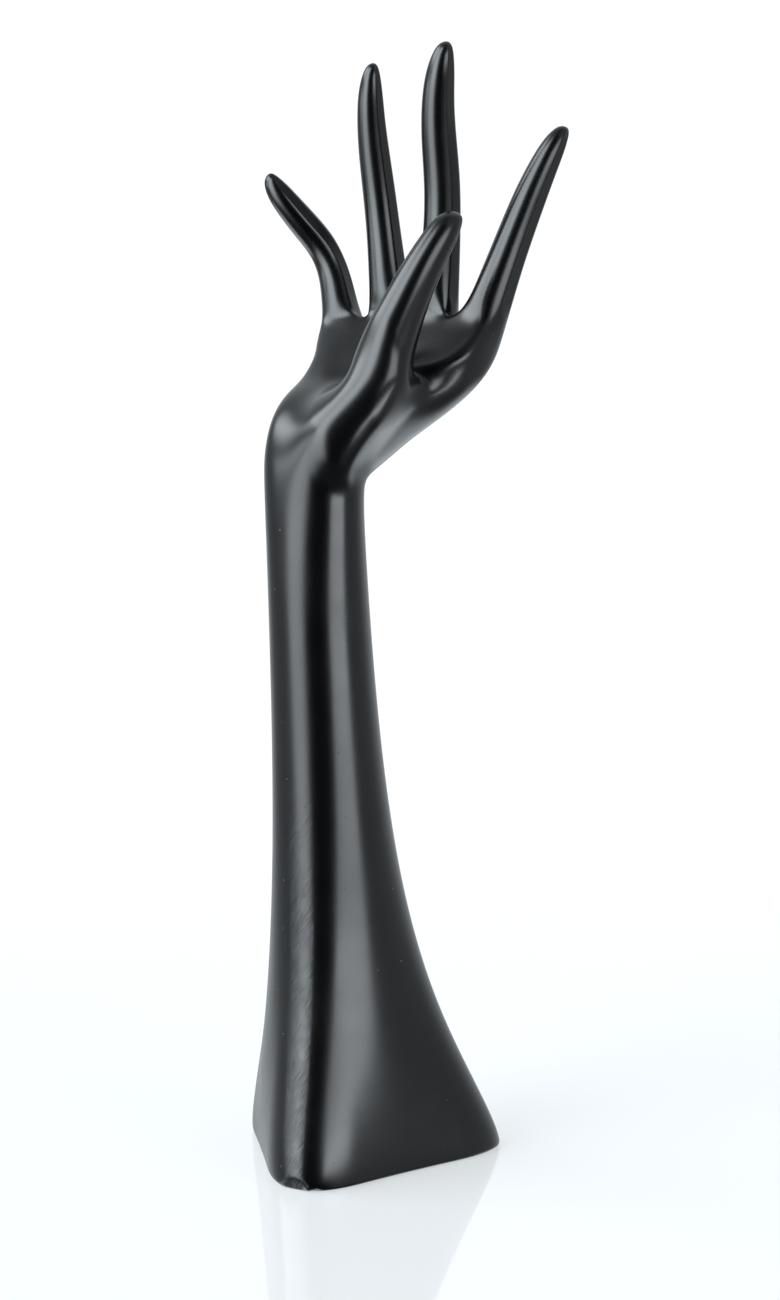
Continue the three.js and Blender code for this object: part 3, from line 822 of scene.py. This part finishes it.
def grab(points, start, end, reach, move):
    """Pull the skin along a stroke, most on the stroke and less with the distance from it."""
    stroke = np.subtract(end, start)
    share = np.clip((points - start) @ stroke / (stroke @ stroke), 0, 1)
    apart = np.linalg.norm(points - start - share[:, None] * stroke, axis=1)
    return points + (1 - eased(apart, 0, reach))[:, None] * np.array(move)


def relax(points, edges, place, reach, rounds):
    """Move points towards the middle of their neighbours, most near the place, to even out a lump."""
    weight = 1 - eased(np.linalg.norm(points - place, axis=1), 0, reach)
    edges = edges[(weight[edges] > 0).any(1)]
    known, local = np.unique(edges, return_inverse=True)
    start, end = local.reshape(-1, 2).T
    count = np.bincount(np.concatenate([start, end]))
    patch, share = points[known], weight[known][:, None]
    for _ in range(rounds):
        total = np.stack([np.bincount(start, patch[end, axis], len(known))
                          + np.bincount(end, patch[start, axis], len(known)) for axis in range(3)], 1)
        patch = patch + share * RELAX_STEP * (total / count[:, None] - patch)
    points = points.copy()
    points[known] = patch
    return points


def cut(points, place, outward, reach):
    """Press what stands out past a plane back on to it, near one place of the plane."""
    outward = np.array(outward) / np.linalg.norm(outward)
    proud = np.maximum((points - place) @ outward, 0)
    near_by = np.linalg.norm(points - place, axis=1) < reach
    return points - (proud * near_by)[:, None] * outward


print("tools:", [tool.__name__ for tool in (grab, relax, cut)])

# %% Last touches
# Grabs: the two ends of the stroke in mm, how far it reaches and how the skin moves there
GRABS = {
    "front of the ball of the thumb": ((0, -26, 248), (15, -23, 271), 14, (0.4, -3.2, -1.0)),
    "right of the ball of the thumb": ((6, -27, 254), (15, -24, 266), 11, (0.4, -2.2, -0.8)),
    "nick in the front edge": ((-11.6, -47.6, 0.6), (-11.4, -47.6, 0.6), 1.7, (0, 0.9, 0.35)),
}
# Relaxed places: where in mm, how far it reaches and how many rounds
RELAXED = {
    "root of the thumb": ((2, -27, 271), 19, 260),
    "lower thumb": ((4, -22, 284), 13, 120),
    "front of the ball of the thumb": ((5, -26, 256), 16, 80),
    "right of the ball of the thumb": ((14, -22, 266), 10, 120),
    "web of the thumb": ((20, -11, 269), 9, 90),
    "palm beside the thumb": ((5, -7, 270), 12, 160),
}
# Cuts: a point of the plane, its outward direction and how far round the point it works
CUTS = {
    "front corner of the foot": ((-20.6, -44.4, 3.0), (-0.45, -0.8, -0.4), 6.5),
}

edges = np.empty(len(hand_mesh.edges) * 2, np.int32)
hand_mesh.edges.foreach_get("vertices", edges)
for stroke in GRABS.values():
    points = grab(points, *stroke)
for place, reach, rounds in RELAXED.values():
    points = relax(points, edges.reshape(-1, 2), np.array(place), reach, rounds)
for place, outward, reach in CUTS.values():
    points = cut(points, np.array(place), outward, reach)
hand_mesh.vertices.foreach_set("co", (points * MM).astype(np.float32).ravel())
hand_mesh.update()
print("touched up:", list(GRABS) + list(RELAXED) + list(CUTS))

# %% [markdown]
# Every finish of the stand starts from an empty tree and ends in one principled shader. The helpers below
# take what varies over the surface as links, and what is the same all over as plain numbers on the shader's
# own sockets.

# %% Helpers for finishes
def object_place(tree):
    return Wire.add(tree, "ShaderNodeTexCoord", output="Object")


def noise(tree, place, size, detail=2.0, roughness=0.5):
    """Noise between 0 and 1 whose features are about size metres wide."""
    inputs = {"Vector": place, "Scale": 1 / size, "Detail": detail, "Roughness": roughness}
    return Wire.add(tree, "ShaderNodeTexNoise", None, inputs)


def grain(tree, place, direction, size):
    """Place in a grain of lines, turned by degrees. Size is one line's width, depth and length."""
    turned = tuple(radians(angle) for angle in direction)
    inputs = {"Vector": place, "Rotation": turned, "Scale": size}
    return Wire.add(tree, "ShaderNodeMapping", {"vector_type": "TEXTURE"}, inputs)


def relief(tree, height):
    """Normal of a relief whose height is in millimetres."""
    return Wire.add(tree, "ShaderNodeBump", None, {"Height": height, "Strength": 1.0, "Distance": MM})


def surface(tree, inputs):
    shader = Wire.add(tree, "ShaderNodeBsdfPrincipled", None, inputs)
    Wire.add(tree, "ShaderNodeOutputMaterial", None, {"Surface": shader})


print("helpers:", [helper.__name__ for helper in (noise, grain, relief, surface)])

# %% [markdown]
# The casting is sprayed satin black. One colour and one roughness would look like plastic film, because up
# close it has a fine spray grain, a soft orange peel and a few grains of dust. The front ridge of the foot
# was sanded, so it is rougher there and crossed by slanting scratches, and the filed strips on the fingers
# keep the chatter of the file across them.

# %% Sizes of the satin black
BLACK, DUST = (0.0008, 0.0008, 0.0011, 1), (0.10, 0.10, 0.105, 1)
SATIN, SMUDGE_ROUGHER, SANDED_ROUGHER, STRIP_ROUGHER = 0.23, 0.05, 0.10, 0.05
SANDED_FACING, SANDED_SOFT = (-50, -13), 5
SANDED_FULL, SANDED_GONE = 0.05, 0.16
SCRATCH_SIZE = (0.0005, 0.003, 0.012)
SCRATCH_LEAN, SCRATCH_FACING = -9, -28
SCRATCH_TILTS = (29, 37)
CHATTER_STEP, CHATTER_WANDER = 0.9, 9.0
SPECKS_PER_METRE = 130.0
# Widths in metres of what the noise draws
SPRAY_WIDTH, PEEL_WIDTH, SMUDGE_WIDTH, WORN_WIDTH, WANDER_WIDTH = 0.0004, 0.006, 0.03, 0.012, 0.004
# Heights in millimetres of what the bump raises
SPRAY_HEIGHT, PEEL_HEIGHT, SCRATCH_HEIGHT, CHATTER_HEIGHT, SPECK_HEIGHT = 0.0018, 0.010, 0.085, 0.006, 0.03
# How much dust colour shows in a speck and in a scratch
SPECK_DUST, SCRATCH_DUST = 0.6, 0.16
# Where each pattern begins and where it counts in full
WORN_LIMITS, SCRATCH_LIMITS = (0.25, 0.6), (0.48, 0.7)
SMUDGE_LIMITS, SPECK_LIMITS = (0.35, 0.75), (0.05, 0.025)
print("scratches", SCRATCH_SIZE[0] / MM, "mm wide, tilted", SCRATCH_TILTS, "degrees")

# %% Satin black
casting_finish, skin = new_finish("satin_black")
place = object_place(skin)
height = part_of(skin, place, 2)
facing = azimuth_of(skin, Wire.add(skin, "ShaderNodeTexCoord", output="Normal"))
sanded = window(facing, SANDED_FACING, SANDED_SOFT) * height.rise(SANDED_GONE, SANDED_FULL)
sanded = sanded * noise(skin, place, WORN_WIDTH).rise(*WORN_LIMITS)
scratches = 0.0
for tilt in SCRATCH_TILTS:
    slant = grain(skin, place, (SCRATCH_LEAN, tilt, SCRATCH_FACING), SCRATCH_SIZE)
    scratches = scratches + noise(skin, slant, 1.0, detail=1.0).rise(*SCRATCH_LIMITS)
on_strip = Wire.add(skin, "ShaderNodeAttribute", {"attribute_name": "filed"}, output="Fac")
along_finger = Wire.add(skin, "ShaderNodeAttribute", {"attribute_name": "along"}, output="Fac")
ripple = along_finger * (2 * pi / CHATTER_STEP) + noise(skin, place, WANDER_WIDTH) * CHATTER_WANDER
chatter = on_strip * ripple.math("SINE", ripple)
cells = {"Vector": place, "Scale": SPECKS_PER_METRE}
specks = Wire.add(skin, "ShaderNodeTexVoronoi", None, cells, "Distance").rise(*SPECK_LIMITS)
spray = noise(skin, place, SPRAY_WIDTH)
peel = noise(skin, place, PEEL_WIDTH)
smudges = noise(skin, place, SMUDGE_WIDTH, detail=4.0, roughness=0.6).rise(*SMUDGE_LIMITS)
skin_height = spray * SPRAY_HEIGHT + peel * PEEL_HEIGHT + sanded * scratches * SCRATCH_HEIGHT
skin_height = skin_height + chatter * CHATTER_HEIGHT + specks * SPECK_HEIGHT
surface(skin, {
    "Base Color": mixed(skin, specks * SPECK_DUST + sanded * scratches * SCRATCH_DUST, BLACK, DUST),
    "Roughness": SATIN + smudges * SMUDGE_ROUGHER + sanded * SANDED_ROUGHER + on_strip * STRIP_ROUGHER,
    "Normal": relief(skin, skin_height),
})
hand_mesh.materials.clear()
hand_mesh.materials.append(casting_finish)
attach(hand, "root")
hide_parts("hand_casting")
print("satin black:", len(skin.nodes), "nodes")

# %% [markdown]
# Under the stand a board of pressed wood fibre closes the hollow. It keeps its CAD shape, so it only gets a
# finish. A wood texture would show rings, which such a board has not: it shows fine fibres that lie every way
# in the sheet, drawn here as stretched noise in three directions, and a darker, rougher cut edge.

# %% Pressed board
BOARD_PALE, BOARD_DARK = (0.36, 0.25, 0.16, 1), (0.17, 0.105, 0.06, 1)
FIBRE_SIZE = (0.0003, 0.004, 0.0003)
FIBRE_TURNS = (12, 73, 131)
BLOTCH_WIDTH, CUT_WIDTH = 0.02, 0.0006
FIBRE_HEIGHT, CUT_HEIGHT = 0.08, 0.15
FIBRE_LIMITS, SHADE_LIMITS = (0.38, 0.66), (0.0, 0.8)
FIBRE_PALER, BLOTCH_PALER, CUT_DARKER = 0.6, 0.3, 0.35
BOARD_ROUGH, FIBRE_SMOOTHER = 0.9, 0.2


def crossing_fibres(tree, place, size):
    """Fibres of one size that lie every way in a sheet."""
    fibres = 0.0
    for turn_angle in FIBRE_TURNS:
        lines = noise(tree, grain(tree, place, (0, 0, turn_angle), size), 1.0)
        fibres = fibres + lines * (1 / len(FIBRE_TURNS))
    return fibres


def dress(node, material):
    """Give a carried-over CAD piece its finish."""
    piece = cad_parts[node]
    for slot in piece.material_slots:
        slot.material = material


board_finish, board = new_finish("pressed_board")
place = object_place(board)
fibres = crossing_fibres(board, place, FIBRE_SIZE)
blotches = noise(board, place, BLOTCH_WIDTH, detail=3.0)
lying = part_of(board, Wire.add(board, "ShaderNodeNewGeometry", output="True Normal"), 2)
cut_edge = 1 - lying * lying
shade = fibres.rise(*FIBRE_LIMITS) * FIBRE_PALER + blotches * BLOTCH_PALER - cut_edge * CUT_DARKER
cut_relief = cut_edge * noise(board, place, CUT_WIDTH) * CUT_HEIGHT
surface(board, {
    "Base Color": mixed(board, shade.rise(*SHADE_LIMITS), BOARD_DARK, BOARD_PALE),
    "Roughness": BOARD_ROUGH - fibres * FIBRE_SMOOTHER,
    "Normal": relief(board, fibres * FIBRE_HEIGHT + cut_relief),
})
dress("base_plate", board_finish)
print("board:", len(board.nodes), "nodes")

# %% [markdown]
# On the board stands a block of cast iron as a weight. It is out of sight, so a plain grey would pass, but the
# opened stand would show it. Iron from a sand mould is grey with a sandy skin, and a little rust sits on its
# high spots.

# %% Cast iron
IRON_GREY, RUST = (0.17, 0.17, 0.175, 1), (0.14, 0.055, 0.025, 1)
SAND_WIDTH, WAVE_WIDTH = 0.0009, 0.009
SAND_HEIGHT, WAVE_HEIGHT = 0.09, 0.3
RUST_LIMITS, RUST_SAND, RUST_COVER = (0.62, 0.8), 0.25, 0.8
IRON_METAL, RUST_DULLER = 0.75, 0.7
IRON_ROUGH, RUST_ROUGHER, SAND_ROUGHER = 0.5, 0.35, 0.1

iron_finish, iron = new_finish("cast_iron")
place = object_place(iron)
sand = noise(iron, place, SAND_WIDTH, detail=3.0, roughness=0.65)
waves = noise(iron, place, WAVE_WIDTH, detail=3.0)
rust = (waves + sand * RUST_SAND).rise(*RUST_LIMITS)
surface(iron, {
    "Base Color": mixed(iron, rust * RUST_COVER, IRON_GREY, RUST),
    "Metallic": IRON_METAL - rust * RUST_DULLER,
    "Roughness": IRON_ROUGH + rust * RUST_ROUGHER + sand * SAND_ROUGHER,
    "Normal": relief(iron, sand * SAND_HEIGHT + waves * WAVE_HEIGHT),
})
dress("ballast_block", iron_finish)
print("iron:", len(iron.nodes), "nodes")

# %% [markdown]
# A pad of pressed felt covers the board, so that the stand does not mark the counter. A cloth simulation has
# nothing to do here, because the pad lies flat. The CAD solid is a plain slab, and here it becomes a sheet
# cut to the foot's formula, with a soft cut edge and a nap that rises and falls a little.

# %% Outline of the felt
FELT_POINTS, FELT_RINGS = 144, 26
FELT_EDGE = 0.45

felt_low, felt_high = (corner[2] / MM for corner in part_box("felt_pad"))
felt_rim = forearm_ring(0, RIM_WIDTH + FIT_GAP, FELT_POINTS)
felt_inside = forearm_ring(0, RIM_WIDTH + FIT_GAP + FELT_EDGE, FELT_POINTS)


felt_size = [max(p[axis] for p in felt_rim) - min(p[axis] for p in felt_rim) for axis in range(2)]

# %% Felt pad
FELT_NAP = 0.05
# Waves of the nap: how fast each runs along x and y, and where it starts
NAP_WAVES = ((1.9, 0.7, 0), (-2.3, 1.3, 0), (0, 2.9, 1.1))
EDGE_LOW, EDGE_HIGH = 0.3, 0.7


def nap(point):
    wave = sum(sin(along_x * point.x + along_y * point.y + shift) for along_x, along_y, shift in NAP_WAVES)
    return FELT_NAP * (0.5 + wave / (2 * len(NAP_WAVES)))


def felt_face(z, inward):
    """Rings of one face from its middle to its edge. The nap eats into the thickness."""
    rings = []
    for i in range(1, FELT_RINGS + 1):
        ring = [point * i / FELT_RINGS for point in felt_inside]
        rings.append([Vector((point.x, point.y, z + inward * nap(point))) for point in ring])
    return rings


def felt_side(share):
    return [Vector((point.x, point.y, lerp(felt_low, felt_high, share))) for point in felt_rim]


def felt_mesh():
    sides = [felt_side(EDGE_LOW), felt_side(EDGE_HIGH)]
    rings = felt_face(felt_low, 1) + sides + felt_face(felt_high, -1)[::-1]
    points = [point for ring in rings for point in ring]
    points += [Vector((0, 0, felt_low)), Vector((0, 0, felt_high))]
    count, last = FELT_POINTS, FELT_POINTS * (len(rings) - 1)
    faces = []
    for k in range(count):
        after = (k + 1) % count
        for start in range(0, last, count):
            faces.append((start + k, start + count + k, start + count + after, start + after))
        faces.append((len(points) - 2, k, after))
        faces.append((len(points) - 1, last + after, last + k))
    mesh = bpy.data.meshes.new("felt_sheet")
    mesh.from_pydata([point * MM for point in points], [], faces)
    mesh.shade_smooth()
    return mesh


felt = bpy.data.objects.new("felt_sheet", felt_mesh())
scene.collection.objects.link(felt)
print("felt:", len(felt.data.polygons), "faces")

# %% [markdown]
# Felt is wool pressed until it holds, so its strands lie every way and wander. Hair particles would give real
# strands, but far too many. The board's crossing fibres serve again, finer and bent by a noise, and a little
# sheen stands for the down on the surface.

# %% Felt finish
FELT_DARK, FELT_PALE = (0.012, 0.012, 0.013, 1), (0.06, 0.06, 0.064, 1)
WOOL_SIZE = (0.00012, 0.0025, 0.00012)
WOOL_WANDER, WANDER_SCALE = (0.004, 0.004, 0.0), 300.0
CLUMP_WIDTH = 0.005
WOOL_HEIGHT, CLUMP_HEIGHT = 0.25, 0.12
WOOL_LIMITS, LEAST_PALE = (0.4, 0.65), 0.5
SHEEN, SHEEN_ROUGH = 0.35, 0.5

felt_finish, wool = new_finish("pressed_felt")
place = object_place(wool)
bends = {"Vector": place, "Scale": WANDER_SCALE}
warped = Wire.add(wool, "ShaderNodeVectorMath", {"operation": "MULTIPLY_ADD"}, {
    0: Wire.add(wool, "ShaderNodeTexNoise", None, bends, "Color"),
    1: WOOL_WANDER,
    2: place,
})
strands = crossing_fibres(wool, warped, WOOL_SIZE)
clumps = noise(wool, place, CLUMP_WIDTH, detail=3.0)
surface(wool, {
    "Base Color": mixed(wool, strands.rise(*WOOL_LIMITS) * (LEAST_PALE + clumps), FELT_DARK, FELT_PALE),
    "Roughness": 1.0,
    "Sheen Weight": SHEEN,
    "Sheen Roughness": SHEEN_ROUGH,
    "Normal": relief(wool, strands * WOOL_HEIGHT + clumps * CLUMP_HEIGHT),
})
felt.data.materials.append(felt_finish)
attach(felt, "root")
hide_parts("felt_pad")
[value * MM for value in felt_size]
print("felt:", len(wool.nodes), "nodes")

# %% [markdown]
